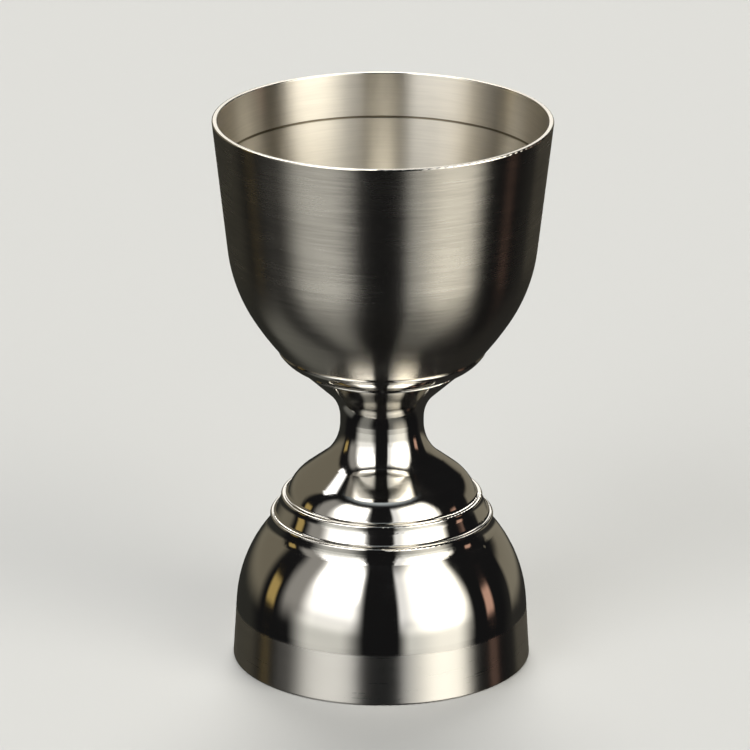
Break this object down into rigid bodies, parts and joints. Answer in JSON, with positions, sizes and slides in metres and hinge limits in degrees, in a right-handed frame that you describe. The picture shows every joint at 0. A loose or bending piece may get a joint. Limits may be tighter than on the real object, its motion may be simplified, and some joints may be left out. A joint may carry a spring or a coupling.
{
  "type": "bar jigger",
  "caption": "Double-ended bell-shaped bar jigger: a large satin cup on a polished waisted stem above a bell foot that holds a smaller cup.",
  "frame": {"origin": "centre of the small cup's mouth, in the plane of the rim that it stands on", "axes": "+Z is the axis of revolution, up through the stem and out of the large cup; X and Y are equivalent because the object is round"},
  "size_m": [0.0524, 0.0524, 0.0872],
  "materials": {
    "satin_steel": "satin",
    "polished_steel": "polished",
    "skirt_steel": "polished",
    "braze": "satin"
  },
  "bodies": {
    "root": {"upper_cup": "satin_steel", "collar_ring": "polished_steel", "stem": "polished_steel", "shoulder_ring": "polished_steel", "bell_skirt": "skirt_steel", "lower_cup": "satin_steel", "upper_braze": "braze", "lower_braze": "braze"}
  },
  "joints": []
}
